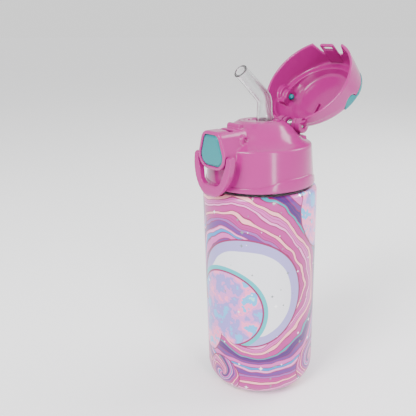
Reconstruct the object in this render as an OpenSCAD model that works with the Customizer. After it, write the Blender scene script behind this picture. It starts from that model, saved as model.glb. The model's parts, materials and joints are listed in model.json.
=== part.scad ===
// Kids' insulated flask with a flip-up straw lid.
// The bottle stands on z = 0 and its axis is Z. The button side faces -Y.
// It is drawn with the lid open, the straw up and the lock loop hanging.

/* [Flask] */
// Radius of the steel body
body_r = 36.5; // [36:0.1:37]
// Radius of the rounded foot
foot_r = 12.4; // [11:0.1:13]
// Height at which the straight wall ends below the shoulder
body_h = 134.6; // [134:0.1:135]
// Thickness of the pressed steel
steel_t = 0.6; // [0.5:0.1:0.7]
// Gap between the two steel walls
vacuum_gap = 2.9; // [2.5:0.1:3]
// Outer radius of the neck
neck_r = 28.6; // [28.5:0.1:28.7]
// Height of the mouth's lip
mouth_z = 154; // [153.9:0.1:154.1]

/* [Screw thread] */
// Rise in one turn
pitch = 4; // [4:0.5:4.5]
// Height of the neck's ridge
ridge_h = 1.1; // [1:0.1:1.2]

/* [Collar] */
// Height of the lower edge
collar_z = 140.5; // [140.4:0.1:140.6]
// Radius at the lower edge
collar_r = 34.2; // [34:0.1:34.4]
// Radius at the seam with the lid
seam_r = 32.3; // [32.2:0.1:32.4]
// Height of the seam with the lid
seam_z = 165; // [164.9:0.1:165.1]
// Height of the top disc
disc_z = 178.4; // [178.3:0.1:178.5]

/* [Button and lock loop] */
// How far the button travels
button_travel = 2; // [1.8:0.1:2]
// Front of the button housing, from the axis
housing_y = 39.5; // [39.4:0.1:39.6]
// Wall around the button
rim_t = 2.1; // [2:0.1:2.2]
// Reach of the lock loop from its pivot
loop_reach = 23.1; // [22.5:0.1:23.5]

/* [Lid] */
// Angle from closed to fully open
lid_angle = 130; // [120:1:130]
// Wall of the lid
lid_t = 1.8; // [1.7:0.1:1.9]
// Top of the closed lid
lid_top = 191.5; // [191.3:0.1:191.7]
// Slope of the handle's seat
seat_tilt = 12.1; // [11.5:0.1:12.5]

/* [Straw] */
// Outer radius of the drinking spout
spout_r = 4.25; // [4.1:0.05:4.3]
// Angle of the spout's bend
spout_bend = 49; // [45:1:52]
// Radius of the stiff straw
straw_r = 3.5; // [3.4:0.1:3.6]

/* [Hidden] */
$fn = 96;

pink = [0.80, 0.33, 0.60];
teal = [0.22, 0.72, 0.76];
steel = [0.76, 0.77, 0.79];
clear_white = [0.92, 0.94, 0.95, 0.6];
spring_steel = [0.6, 0.6, 0.63];

// inner flask
inner_r = body_r - steel_t - vacuum_gap;
inner_z = 5.6;
neck_in_r = neck_r - 0.8;

// collar liner
liner_r = 31.2;
liner_in_r = neck_r + 1.4;
liner_z = 141.2;
deck_z = mouth_z + 1.6;
deck_t = 1.6;
hub_r = 5;
hub_top = 176;
straw_y = 4;
straw_bottom = 11;

// collar shell
wall_t = 2;
ring_r = 12.6;
ring_seat_z = 176;

// button outline, seen from the front: its middle and its corner circles
button_top = 173.9;
button_bottom = 155.6;
fit_gap = 0.25;
chamber_back = 18.2;
housing_back = 17;
pocket_depth = button_travel + 4.4;
chamber_z = 158.5;
slot_half = 6.2;

// latch
hook_z = [166.2, 170.4];
tab_half = 5.5;
tab_y = [29.6, 27.6];
tab_foot = seam_z + 0.3;
window_z = [166.9, 170.3];
latch_pin_y = 22.2;
latch_pin_z = 169.8;
latch_pin_r = 1;
rest_bar_y = 20.5;
rest_bar_z = 176.8;
rest_bar_r = 1.9;

// button spring
spring_z = 161.6;

// lock loop
loop_y = 36.7;
loop_z = 160.4;
loop_half = 16.4;
loop_pin_r = 1.5;

// hinge
hinge_y = 29.2;
hinge_z = 172.6;
hinge_pin_r = 1.5;
knuckle_r = 4.9;
inner_knuckle_r = 4.6;
knuckle_x = [6.2, 10.3];
inner_knuckle_x = 5.8;
coil_half = 2.9;
running_gap = 0.05;

// lid
skirt_r = seam_r;
lid_foot = seam_z + 0.3;
seat_z = 180;
seat_r = 25.1;
seat_back = 9.9;
pocket_x = 27.7;
pivot_y = 4;
pivot_z = 181;
pivot_r = 2;
eye_r = 5.6;
boss_r = 5;
boss_in_x = 22.4;

// spout
tip_z = 182;
bend_z = 187;
bend_r = 9;
spout_reach = 27;
spout_bore = 2.6;

// ---------- helpers ----------

function reverse(v) = [for (i = [len(v) - 1:-1:0]) v[i]];

// A solid of revolution from its outline.
module turned(points) rotate_extrude() polygon(points);

// An upright drawing, seen from the front, pushed back from y = -front to y = -back.
module from_front(front, back)
  translate([0, -back, 0]) rotate([90, 0, 0]) linear_extrude(front - back) children();

// A bar along X between two places.
module x_bar(r, x0, x1, y, z)
  translate([x0, y, z]) rotate([0, 90, 0]) cylinder(r = r, h = x1 - x0);

// The same on both sides of the bottle.
module both_sides() {
  children();
  mirror([1, 0, 0]) children();
}

// Turns the closed lid's parts back about the hinge.
module lid_open()
  translate([0, hinge_y, hinge_z]) rotate([-lid_angle, 0, 0]) translate([0, -hinge_y, -hinge_z])
    children();

// The plane that the carry handle lies on, rising to the front.
module seat() translate([0, 0, seat_z]) rotate([-seat_tilt, 0, 0]) children();

// Button outline with a margin: narrow at the top, round below.
module button_outline(grow = 0, $fn = 48) hull() {
  for (x = [-3.6, 3.6]) translate([x, button_top - 3.6]) circle(r = 3.6 + grow);
  for (x = [-4, 4]) translate([x, button_bottom + 6]) circle(r = 6 + grow);
}

// One point of a thread's cross-section, swept round the axis.
function thread_point(r, z, a) = [r * cos(a), r * sin(a), z];
// The ridge grows from nothing over its first and last steps.
function thread_fade(i, n, k = 6) = min(1, min(i, n - i) / k + 0.02);

// A screw ridge on a wall of radius r. Its height is positive outwards and negative inwards.
module thread_ridge(r, height, z, turns, root = 0.3, half_root = 0.9, half_crest = 0.4) {
  step = 7.5;
  n = round(turns * 360 / step);
  into = height > 0 ? -root : root;
  points = [
    for (i = [0:n])
      let (a = i * step, h = height * thread_fade(i, n), c = z + pitch * a / 360)
        each [
          thread_point(r + into, c - half_root, a), thread_point(r + h, c - half_crest, a),
          thread_point(r + h, c + half_crest, a), thread_point(r + into, c + half_root, a)
        ]
  ];
  out = height > 0;
  side = [
    for (i = [0:n - 1], j = [0:3])
      let (p = 4 * i + j, q = 4 * i + (j + 1) % 4, s = p + 4, t = q + 4)
        each (out ? [[p, t, s], [p, q, t]] : [[p, s, t], [p, t, q]])
  ];
  last = 4 * n;
  ends = out
    ? [[0, 2, 1], [0, 3, 2], [last, last + 1, last + 2], [last, last + 2, last + 3]]
    : [[0, 1, 2], [0, 2, 3], [last, last + 2, last + 1], [last, last + 3, last + 2]];
  polyhedron(points, concat(side, ends));
}

// A coil spring as one closed sweep, along Z from z = 0.
module coil(r, wire, height, turns) {
  per_turn = 16;
  sides = 6;
  n = round(turns * per_turn);
  points = [
    for (i = [0:n], j = [0:sides - 1])
      let (a = 360 * i / per_turn, b = 360 * j / sides, q = r + wire * cos(b))
        [q * cos(a), q * sin(a), wire + (height - 2 * wire) * i / n + wire * sin(b)]
  ];
  side = [
    for (i = [0:n - 1], j = [0:sides - 1])
      let (p = sides * i + j, q = sides * i + (j + 1) % sides)
        each [[p, p + sides, q + sides], [p, q + sides, q]]
  ];
  first = [[for (j = [0:sides - 1]) j]];
  last = [[for (j = [0:sides - 1]) sides * n + sides - 1 - j]];
  polyhedron(points, concat(side, first, last));
}

// ---------- flask ----------

// Outside of the steel body, from the standing ring up to the foot of the neck.
function body_outline(r, t) = [
  for (a = [-90:15:0]) [r - foot_r + (foot_r - t) * cos(a), foot_r + (foot_r - t) * sin(a)],
  for (a = [0:15:75]) [r - 4.2 + (4.2 - t) * cos(a), body_h + (4.2 - t) * sin(a)]
];

module outer_shell() color(steel) turned(concat(
  [[20, 0]],
  body_outline(body_r, 0),
  [[neck_r, 139.3], [neck_r, 139.3 - steel_t]],
  reverse(body_outline(body_r, steel_t)),
  [[20, steel_t]]
));

// Pressed disc that closes the outer shell below.
module base_cup() color(steel) turned([
  [0, 2.4], [17, 2.2], [18.6, steel_t], [22.5, steel_t],
  [22.5, 2 * steel_t], [19.2, 2 * steel_t], [17.4, 2.2 + steel_t], [0, 2.4 + steel_t]
]);

// The inner flask's wall, from the middle of its floor up to the foot of the neck.
function flask_outline(t, rn) = [
  [0, inner_z + t], [inner_r - 8, inner_z + t],
  for (a = [-75:15:0]) [inner_r - 8 + (8 - t) * cos(a), inner_z + 8 + (8 - t) * sin(a)],
  for (a = [0:15:75]) [inner_r - 5 + (5 - t) * cos(a), 129.6 + (5 - t) * sin(a)],
  [rn, 138]
];

module inner_flask() color(steel) {
  turned(concat(
    flask_outline(0, neck_r),
    [[neck_r, mouth_z - 0.5], [neck_r - 0.3, mouth_z], [neck_in_r, mouth_z]],
    reverse(flask_outline(steel_t, neck_in_r))
  ));
  thread_ridge(neck_r, ridge_h, 144, 1.25);
}

// Pellet that keeps the vacuum.
module getter() color(spring_steel) translate([0, 0, 2.4 + steel_t]) cylinder(r = 4, h = 1.6);

// Gasket between the mouth's lip and the collar's deck.
module neck_seal() color(clear_white)
  turned([[26.4, mouth_z], [29.3, mouth_z], [29.3, deck_z], [26.4, deck_z]]);

// ---------- collar ----------

// Inner plastic part: screw thread, deck over the mouth and the straw's socket.
module collar_liner() color(clear_white) difference() {
  union() {
    turned([
      [liner_in_r, liner_z], [liner_r, liner_z], [liner_r, deck_z + deck_t],
      [0, deck_z + deck_t], [0, deck_z], [liner_in_r, deck_z]
    ]);
    translate([0, straw_y, 150]) cylinder(r = hub_r, h = hub_top - 150);
    thread_ridge(liner_in_r, -1, 142.58, 1.1);
  }
  translate([0, straw_y, 149]) cylinder(r = straw_r, h = 19);
  translate([0, straw_y, 149]) cylinder(r = spout_bore, h = 40);
  translate([12, 14, 149]) cylinder(r = 1.2, h = 20);
}

// Soft valve in the deck that lets air in behind the drink.
module vent_valve() color(clear_white) translate([12, 14, 0]) turned([
  [0, deck_z - 1.4], [0.8, deck_z - 1.4], [1.7, deck_z], [1.2, deck_z],
  [1.2, deck_z + deck_t], [3, deck_z + deck_t], [2.6, deck_z + deck_t + 0.7], [0, 158.4]
]);

// Outside of the collar above its lower edge: wall, seam and the cove up to the top disc.
collar_top = [
  [31.9, 164.6], [31, seam_z], [29.4, 165.5], [27, 166.7], [24.9, 168.1], [23.3, 169.6],
  [22.1, 171], [20.9, 172.5], [19.6, 174], [18.2, 175.4], [16.6, 176.7], [15, 177.7],
  [13.6, disc_z]
];

// Top line of the raised band: low at the front and back, high at the sides.
function wave_top(y) = collar_z + 3.2 + (y > 27 ? 0 : y < 9 ? 4.4 : 2.2 * (1 + cos(10 * (y - 9))));

// The raised band round the foot of the collar.
module wave_band() intersection() {
  turned([[31.6, collar_z], [collar_r + 0.4, collar_z], [collar_r - 0.1, 149.2], [31.6, 149.2]]);
  rotate([90, 0, 90]) translate([0, 0, -40]) linear_extrude(80) polygon([
    [-40, collar_z - 1], [40, collar_z - 1],
    for (y = [40:-2:-40]) [y, wave_top(abs(y))]
  ]);
}

module collar_shell() color(pink) difference() {
  union() {
    turned(concat(
      [[collar_r - 3.2, collar_z], [collar_r, collar_z], [seam_r, 163.8]],
      collar_top,
      [[ring_r, disc_z], [ring_r, ring_seat_z], [6.5, ring_seat_z],
       [6.5, ring_seat_z - wall_t], [15, 175], [17.8, 172.6], [20, 169.4], [22, 166.8],
       [25, 164.4], [29, 162.8], [liner_r, 161]]
    ));
    wave_band();
    from_front(housing_y, housing_back) button_outline(rim_t);
    // raised pad and knuckles for the hinge
    intersection() {
      translate([-14, 22, 162.4]) cube([28, 12, 4.6]);
      cylinder(r = 31.3, h = 200);
    }
    translate([-inner_knuckle_x, 25.6, 163]) cube([2 * inner_knuckle_x, 5.8, 9]);
    x_bar(inner_knuckle_r, -inner_knuckle_x, inner_knuckle_x, hinge_y, hinge_z);
    // barrels of the latch pin and the bar that pinches the folded straw
    both_sides() x_bar(3.2, 8.2, 11.2, -latch_pin_y, latch_pin_z);
    x_bar(rest_bar_r, -5.5, 5.5, -rest_bar_y, rest_bar_z);
    translate([-4.4, -rest_bar_y - 1.3, 173]) cube([8.8, 2.6, 3.5]);
  }
  // room for the liner and the neck
  translate([0, 0, collar_z - 1]) cylinder(r = liner_r, h = deck_z + deck_t - collar_z + 1);
  translate([0, straw_y, 170]) cylinder(r = hub_r + 0.2, h = 10);
  // button pocket and the latch's chamber behind it
  from_front(housing_y + 1, housing_y - pocket_depth) button_outline();
  intersection() {
    from_front(housing_y - pocket_depth + 1, chamber_back) button_outline();
    translate([-20, -40, chamber_z]) cube([40, 40, 20]);
  }
  translate([-slot_half, -30.4, 171]) cube([2 * slot_half, 3.6, 8]);
  x_bar(latch_pin_r, -12, 12, -latch_pin_y, latch_pin_z);
  both_sides() x_bar(loop_pin_r + running_gap, 8, 13, -loop_y, loop_z);
  // hinge pin's hole and room for the spring
  x_bar(hinge_pin_r, -7, 7, hinge_y, hinge_z);
  x_bar(inner_knuckle_r + 0.6, -coil_half, coil_half, hinge_y, hinge_z);
}

// Ring that clamps the spout's flange.
module spout_ring() color(pink) difference() {
  turned([
    [0, ring_seat_z], [ring_r, ring_seat_z], [ring_r, disc_z - 0.2], [12, disc_z],
    [7.6, disc_z], [7.1, disc_z - 0.5], [0, disc_z - 0.5]
  ]);
  translate([0, straw_y, 170]) cylinder(r = 5.6, h = 20);
  translate([0, straw_y, 170]) cylinder(r = 7.4, h = ring_seat_z - 170 + 1);
}

// ---------- straw ----------

// Foot of the soft spout, with the flange under the ring.
module spout_base() color(clear_white) translate([0, straw_y, 0]) turned([
  [spout_bore, ring_seat_z], [7.4, ring_seat_z], [7.4, ring_seat_z + 1],
  [5.5, ring_seat_z + 1], [5.5, 179], [4.9, tip_z], [3.2, tip_z], [spout_bore, 179]
]);

// Bend and mouth of the soft spout. Short plugs inside the bend join it to its ends.
module spout_line(foot, bend, mouth) {
  turned([
    [0, tip_z - 0.1], [foot, tip_z - 0.1], [bend, bend_z],
    [bend - 0.2, bend_z], [bend - 0.2, bend_z + 0.3], [0, bend_z + 0.3]
  ]);
  translate([0, -bend_r, bend_z]) rotate([90, 0, 90]) rotate_extrude(angle = spout_bend)
    translate([bend_r, 0]) circle(r = bend);
  translate([0, -bend_r, bend_z]) rotate([spout_bend, 0, 0]) translate([0, bend_r, 0])
    turned([
      [0, -0.3], [bend - 0.2, -0.3], [bend - 0.2, 0], [bend, 0], [mouth, 8],
      [mouth, spout_reach - 5], [0, spout_reach - 5]
    ]);
}
module spout_tip() color(clear_white) translate([0, straw_y, 0]) difference() {
  intersection() {
    spout_line(4.9, 4.75, spout_r);
    translate([-20, -40, tip_z]) cube([40, 60, 60]);
  }
  spout_line(3.2, 3.15, spout_bore);
  translate([0, -bend_r, bend_z]) rotate([spout_bend, 0, 0]) translate([0, bend_r, spout_reach - 6])
    cylinder(r = spout_bore, h = 4);
}

// Stiff straw down to just above the flask's floor.
module straw_tube() color(clear_white) translate([0, straw_y, straw_bottom]) difference() {
  cylinder(r = straw_r, h = 168 - straw_bottom);
  translate([0, 0, -1]) cylinder(r = straw_r - 1, h = 170);
}

// ---------- button and latch ----------

module button_cap() color(teal) {
  from_front(housing_y - 0.5, housing_y - 4.3) button_outline(-fit_gap);
  translate([0, -housing_y + 4.3, spring_z]) rotate([-90, 0, 0]) cylinder(r = 2.6, h = 3.7);
  translate([0, -housing_y + 8, spring_z]) rotate([-90, 0, 0]) cylinder(r = 1.5, h = 3);
}

module latch_hook() color(teal) difference() {
  union() {
    translate([-6.8, -housing_y + 4.3, hook_z[0]]) cube([13.6, 10, hook_z[1] - hook_z[0]]);
    translate([-5, -26.6, hook_z[0]]) cube([10, 6.3, 5.7]);
  }
  // opening for the lid's tab, with the nose that catches it
  difference() {
    translate([-5.7, -31.8, hook_z[0] - 1]) cube([11.4, 5.2, 8]);
    rotate([90, 0, 90]) translate([0, 0, -4]) linear_extrude(8) polygon([
      [-26, 167.2], [-29.2, 167.2], [-29.2, 168.2], [-27.4, 169.9], [-26, 169.9]
    ]);
  }
  hull() for (y = [-24.2, -22.15])
    translate([0, y, latch_pin_z]) rotate([0, 90, 0]) cylinder(r = 1.05, h = 12, center = true, $fn = 32);
}

module latch_pin() color(spring_steel) x_bar(latch_pin_r, -9.5, 9.5, -latch_pin_y, latch_pin_z);

module button_spring() color(spring_steel)
  translate([0, -31.48, spring_z]) rotate([-90, 0, 0]) coil(2.1, 0.25, 13.3, 8);

// Swings up over the housing to lock the lid. It is drawn hanging.
module lock_loop() color(pink)
  translate([0, -loop_y, loop_z]) rotate([180, 0, 0]) translate([0, loop_y, -loop_z]) {
    intersection() {
      from_front(45, 25) difference() {
        polygon(concat(
          [[-loop_half, loop_z - 2.3], [loop_half, loop_z - 2.3]],
          [for (a = [0:7.5:180]) [loop_half * cos(a), 162 + (loop_reach - 1.6) * sin(a)]]
        ));
        button_outline(2.5);
        translate([-12.5, loop_z - 3]) square([25, 4.2]);
      }
      rotate([90, 0, 90]) linear_extrude(60, center = true) hull($fn = 32) {
        translate([-loop_y, loop_z]) circle(r = 2.3);
        translate([-loop_y + 3.3, loop_z + loop_reach - 1.6]) circle(r = 1.5);
      }
    }
    both_sides() x_bar(loop_pin_r, 10.3, 13.5, -loop_y, loop_z);
  }

// ---------- lid, drawn closed and then turned open ----------

// The lid's rounded outside, d inside its surface. A tilted shoulder trims the upright one.
module lid_round(d) intersection() {
  turned(concat(
    [[0, lid_foot - (d > 0 ? 1 : 0)], [skirt_r - d, lid_foot - (d > 0 ? 1 : 0)],
     [31.6 - d, 174], [30.9 - d, 181]],
    [for (a = [10:10:80]) [(30.9 - d) * cos(a), 181 + (lid_top - 181 - d) * sin(a)]],
    [[0, lid_top - d]]
  ));
  seat() turned([
    [0, -30], [38 - d, -30], [38 - d, -6], [31.4 - d, -0.6 - d / 2], [30.7 - d, 0.8 - d / 2],
    [29.7 - d, 1.9 - d / 2], [28.2 - d, 3.1 - d / 2], [26.3 - d, 4.4 - d / 2],
    [24.2 - d, 5.9 - d / 2], [22, 7.6 - d], [18, 9.6 - d], [12, 11.2 - d], [0, 12.6 - d]
  ]);
}

// The room above the handle's seat, in front of the full shoulder. It is d larger all round.
module seat_room(d) difference() {
  intersection() {
    seat() translate([-50, -50, -d]) cube([100, 100, 40]);
    translate([-50, -50, 150]) cube([100, 50 + seat_back + d, 60]);
  }
  turned([[0, 160], [seat_r + 0.8 - d, 160], [seat_r + 0.8 - d, 182],
    [22.8 - d, 188.4 - d / 2], [0, 188.4 - d / 2]]);
}

// Shell with the seat, the pivots' walls and the cut-out for the housing.
module lid_bowl() difference() {
  union() {
    difference() {
      lid_round(0);
      seat_room(0);
      difference() { lid_round(lid_t); seat_room(lid_t); }
    }
    both_sides() intersection() {
      x_bar(7.4, pocket_x - 1.8, pocket_x + 3, pivot_y, pivot_z);
      seat() translate([-50, -50, -30]) cube([100, 100, 30]);
      cylinder(r = 30.8, h = 200);
    }
    // rib under the dome
    translate([-0.8, 4, 185]) cube([1.6, 10, 4]);
  }
  // housing's cut-out
  from_front(45, 20) button_outline(2.9);
  // side pockets for the handle's eyes
  both_sides() x_bar(eye_r + 0.3, pocket_x, 40, pivot_y, pivot_z);
  // finger notch in the front lip
  from_front(40, 24) polygon([[-7, 189], [7, 189], [2.5, 184.4], [-2.5, 184.4]]);
  // room for the collar's pad and web
  translate([-14.5, 22, 160]) cube([29, 20, 8]);
  translate([-knuckle_x[0] + 0.1, 20, 160]) cube([2 * knuckle_x[0] - 0.2, 20, hinge_z - 160]);
}

module lid_body() difference() {
  union() {
    lid_bowl();
    intersection() {
      both_sides() x_bar(boss_r, boss_in_x, pocket_x, pivot_y, pivot_z);
      seat() turned([[0, -20], [32, -20], [30, 1.5], [28.3, 3.3], [26.5, 4.5], [0, 4.5]]);
    }
    both_sides() x_bar(knuckle_r, knuckle_x[0], knuckle_x[1], hinge_y, hinge_z);
    // tab that the latch catches
    intersection() {
      translate([-tab_half, -tab_y[0], tab_foot]) cube([2 * tab_half, tab_y[0] - tab_y[1], 17]);
      cylinder(r = 30, h = 200);
    }
  }
  translate([-4.4, -40, window_z[0]]) cube([8.8, 20, window_z[1] - window_z[0]]);
  x_bar(inner_knuckle_r + 0.8, -knuckle_x[0], knuckle_x[0], hinge_y, hinge_z);
  both_sides() {
    x_bar(pivot_r + running_gap, boss_in_x - 1, 29, pivot_y, pivot_z);
    x_bar(hinge_pin_r + running_gap, 5, 12, hinge_y, hinge_z);
  }
}

module lid_shell() color(pink) lid_open() lid_body();

// Band of the handle: a quarter-round ring that follows the tilted seat.
module handle_band() intersection() {
  seat() translate([0, 0, 0.3]) turned([
    [26.3, 0], [31.2, 0], [31.2, 1.2], [30.6, 2.6], [29.6, 3.9], [28.2, 4.9], [26.9, 5.3], [25.9, 5.3]
  ]);
  union() {
    cylinder(r = 30.7, h = 400);
    translate([-7, -40, 0]) cube([14, 20, 400]);
  }
  translate([-50, -50, 150]) cube([100, 46, 80]);
}

// End of the handle: a round eye in the pocket, and the arm above the seat.
module handle_end() {
  x_bar(eye_r, pocket_x + 0.3, pocket_x + 6.3, pivot_y, pivot_z);
  intersection() {
    rotate([90, 0, 90]) translate([0, 0, pocket_x + 0.3]) linear_extrude(6) hull($fn = 48) {
      translate([pivot_y, pivot_z]) circle(r = eye_r - 0.4);
      translate([-5, 182.8]) circle(r = 1.1);
      translate([-5, 185.4]) circle(r = 1.1);
    }
    seat() translate([-50, -50, 0.3]) cube([100, 100, 20]);
  }
}

module carry_handle() color(teal) lid_open() {
  handle_band();
  both_sides() {
    intersection() {
      handle_end();
      cylinder(r = 30.8, h = 400);
      seat() turned([
        [0, -20], [33, -20], [33, -2], [31.2, 1.2], [30.2, 2.4], [28.8, 3.7], [27, 4.9], [0, 4.9]
      ]);
    }
    x_bar(pivot_r, boss_in_x - 0.4, pocket_x + 1, pivot_y, pivot_z);
    translate([boss_in_x - 0.4, pivot_y, pivot_z]) sphere(r = 1.9);
  }
}

module hinge_pin() color(spring_steel) x_bar(hinge_pin_r, -9.2, 9.2, hinge_y, hinge_z);

module lid_spring() color(spring_steel)
  translate([-coil_half + 0.1, hinge_y, hinge_z]) rotate([0, 90, 0]) coil(2.5, 0.35, 2 * coil_half - 0.2, 5);

outer_shell();
base_cup();
inner_flask();
getter();
neck_seal();
collar_shell();
collar_liner();
vent_valve();
spout_ring();
spout_base();
straw_tube();
button_cap();
latch_hook();
latch_pin();
button_spring();
lock_loop();
spout_tip();
lid_shell();
hinge_pin();
lid_spring();
carry_handle();
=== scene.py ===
# %% [markdown]
# Kids' insulated flask with a flip-up straw lid.
# The imported model gives a fixed frame in metres, and each new piece is made in that frame.

# %% Load the frame
import json
import math

import bpy
from mathutils import Matrix, Vector


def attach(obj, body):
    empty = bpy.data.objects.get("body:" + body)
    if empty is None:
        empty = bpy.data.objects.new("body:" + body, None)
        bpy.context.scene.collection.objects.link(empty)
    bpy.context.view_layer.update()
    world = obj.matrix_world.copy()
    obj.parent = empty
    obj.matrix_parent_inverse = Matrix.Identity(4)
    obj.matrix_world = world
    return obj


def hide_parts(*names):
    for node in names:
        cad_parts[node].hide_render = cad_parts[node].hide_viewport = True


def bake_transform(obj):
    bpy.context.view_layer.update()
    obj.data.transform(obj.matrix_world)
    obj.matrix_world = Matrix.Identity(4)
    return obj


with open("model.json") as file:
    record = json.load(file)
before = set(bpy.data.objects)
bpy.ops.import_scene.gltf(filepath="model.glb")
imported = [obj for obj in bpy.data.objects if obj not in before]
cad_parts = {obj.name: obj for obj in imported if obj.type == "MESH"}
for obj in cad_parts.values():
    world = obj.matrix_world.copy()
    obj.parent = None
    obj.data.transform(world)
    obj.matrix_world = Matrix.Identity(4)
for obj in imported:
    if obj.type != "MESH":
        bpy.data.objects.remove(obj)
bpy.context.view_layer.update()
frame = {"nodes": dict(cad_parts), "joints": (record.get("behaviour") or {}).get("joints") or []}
nodes = frame["nodes"]
joints = {joint["name"]: joint for joint in frame["joints"]}
MM = 0.001
print("nodes", len(nodes))

# %% [markdown]
# Most pieces of this flask are turned shapes, bars and plates that were moulded as one. By hand they are
# a few primitives, cut and joined. The helpers below are those few moves: add a primitive at its size and
# place, cut it, join it to its neighbours, and round every edge at once. A remesh with small cells melts
# overlapping solids into one skin, and a smooth pass after it gives the soft edges of moulded plastic.
# That was chosen over bevels, which tear where many curved cuts meet.

# %% Basic moves
def deselect():
    if bpy.context.object and bpy.context.mode != "OBJECT":
        bpy.ops.object.mode_set(mode="OBJECT")
    bpy.ops.object.select_all(action="DESELECT")


def pick(*objects):
    """Selects these objects alone. The first one is active."""
    deselect()
    for piece in objects:
        piece.select_set(True)
    bpy.context.view_layer.objects.active = objects[0]
    return objects[0]


def settle(piece):
    """Puts the object at the origin, unturned and unscaled, with its place in its mesh."""
    pick(piece)
    bpy.ops.object.transform_apply(location=True, rotation=True, scale=True)
    return piece


def face_out(piece):
    pick(piece)
    bpy.ops.object.mode_set(mode="EDIT")
    bpy.ops.mesh.select_all(action="SELECT")
    bpy.ops.mesh.remove_doubles(threshold=1e-7)
    bpy.ops.mesh.normals_make_consistent(inside=False)
    bpy.ops.object.mode_set(mode="OBJECT")
    return piece


def modify(piece, kind, **settings):
    """Adds one modifier, gives it its settings and applies it."""
    pick(piece)
    modifier = piece.modifiers.new(kind.lower(), kind)
    for name, value in settings.items():
        setattr(modifier, name, value)
    bpy.ops.object.modifier_apply(modifier=modifier.name)
    return piece


# %% Primitives, in millimetres
def block(low, high):
    deselect()
    bpy.ops.mesh.primitive_cube_add(size=1, location=[(a + b) / 2 * MM for a, b in zip(low, high)])
    piece = bpy.context.object
    piece.scale = [(b - a) * MM for a, b in zip(low, high)]
    return settle(piece)


def x_bar(r, x0, x1, y, z, sides=64):
    deselect()
    bpy.ops.mesh.primitive_cylinder_add(
        vertices=sides, radius=r * MM, depth=abs(x1 - x0) * MM,
        location=((x0 + x1) / 2 * MM, y * MM, z * MM), rotation=(0, math.pi / 2, 0))
    return settle(bpy.context.object)


def z_bar(r, z0, z1, x=0, y=0, sides=64):
    deselect()
    bpy.ops.mesh.primitive_cylinder_add(
        vertices=sides, radius=r * MM, depth=(z1 - z0) * MM, location=(x * MM, y * MM, (z0 + z1) / 2 * MM))
    return settle(bpy.context.object)


def outline_edge(name, points):
    """A closed line of points in the XZ plane, ready to spin or extrude."""
    mesh = bpy.data.meshes.new(name)
    count = len(points)
    corners = [(x * MM, 0, z * MM) for x, z in points]
    mesh.from_pydata(corners, [(i, (i + 1) % count) for i in range(count)], [])
    piece = bpy.data.objects.new(name, mesh)
    bpy.context.scene.collection.objects.link(piece)
    return piece


def turned(name, profile, steps=192):
    """Spins a closed profile of (radius, height) round the Z axis."""
    piece = pick(outline_edge(name, profile))
    bpy.ops.object.mode_set(mode="EDIT")
    bpy.ops.mesh.select_all(action="SELECT")
    bpy.ops.mesh.spin(steps=steps, angle=math.tau, center=(0, 0, 0), axis=(0, 0, 1))
    bpy.ops.object.mode_set(mode="OBJECT")
    return face_out(piece)


def plate(name, points, y0, y1):
    """An upright outline in XZ, filled and extruded from y0 to y1."""
    piece = pick(outline_edge(name, points))
    bpy.ops.object.mode_set(mode="EDIT")
    bpy.ops.mesh.select_all(action="SELECT")
    bpy.ops.mesh.edge_face_add()
    bpy.ops.mesh.extrude_region_move(TRANSFORM_OT_translate={"value": (0, (y1 - y0) * MM, 0)})
    bpy.ops.object.mode_set(mode="OBJECT")
    piece.data.transform(Matrix.Translation((0, y0 * MM, 0)))
    return face_out(piece)


def side_plate(name, points, x0, x1):
    """The same for an outline in YZ, extruded from x0 to x1."""
    piece = plate(name, points, -x1, -x0)
    piece.data.transform(Matrix.Rotation(math.pi / 2, 4, "Z"))
    return face_out(piece)


# %% Joining, cutting and rounding
def combine(piece, tools, operation):
    for tool in tools:
        modify(piece, "BOOLEAN", operation=operation, solver="EXACT", object=tool)
        bpy.data.objects.remove(tool)
    return piece


def cut(piece, *tools):
    return combine(piece, tools, "DIFFERENCE")


def keep_common(piece, *tools):
    return combine(piece, tools, "INTERSECT")


def copy_of(piece):
    twin = piece.copy()
    twin.data = piece.data.copy()
    bpy.context.scene.collection.objects.link(twin)
    return twin


def mirrored(piece):
    """A copy on the other side of the bottle, with its faces turned back out."""
    twin = copy_of(piece)
    twin.data.transform(Matrix.Scale(-1, 4, (1, 0, 0)))
    return face_out(twin)


def both_sides(piece):
    return [piece, mirrored(piece)]


def join(name, *pieces):
    piece = pick(*pieces)
    bpy.ops.object.join()
    piece.name = name
    piece.data.name = name
    return piece


def moulded(piece, cell, rounds):
    """Melts the parts into one skin of small cells and rounds its edges."""
    modify(piece, "REMESH", mode="VOXEL", voxel_size=cell * MM, use_smooth_shade=True)
    modify(piece, "SMOOTH", factor=0.5, iterations=rounds)
    triangles = sum(len(face.vertices) - 2 for face in piece.data.polygons)
    print(piece.name, "triangles", triangles)
    return piece


def arc(x, z, r, start, end, steps):
    turn = [math.radians(start + (end - start) * i / steps) for i in range(steps + 1)]
    return [(x + r * math.cos(a), z + r * math.sin(a)) for a in turn]


def eased(points, steps=6):
    """A smooth line through the points."""
    line = []
    for i in range(len(points) - 1):
        a, b = points[max(i - 1, 0)], points[i]
        c, d = points[i + 1], points[min(i + 2, len(points) - 1)]
        for k in range(steps):
            t = k / steps
            line.append(tuple(
                0.5 * (2 * q + (r - p) * t + (2 * p - 5 * q + 4 * r - s) * t * t
                       + (3 * q - p - 3 * r + s) * t ** 3)
                for p, q, r, s in zip(a, b, c, d)))
    return line + [points[-1]]


def hull_outline(circles, steps=96):
    """The line round a group of circles (x, z, radius)."""
    points = []
    for i in range(steps):
        a = math.tau * i / steps
        x, z, r = max(circles, key=lambda c: c[0] * math.cos(a) + c[1] * math.sin(a) + c[2])
        points.append((x + r * math.cos(a), z + r * math.sin(a)))
    return points


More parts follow.
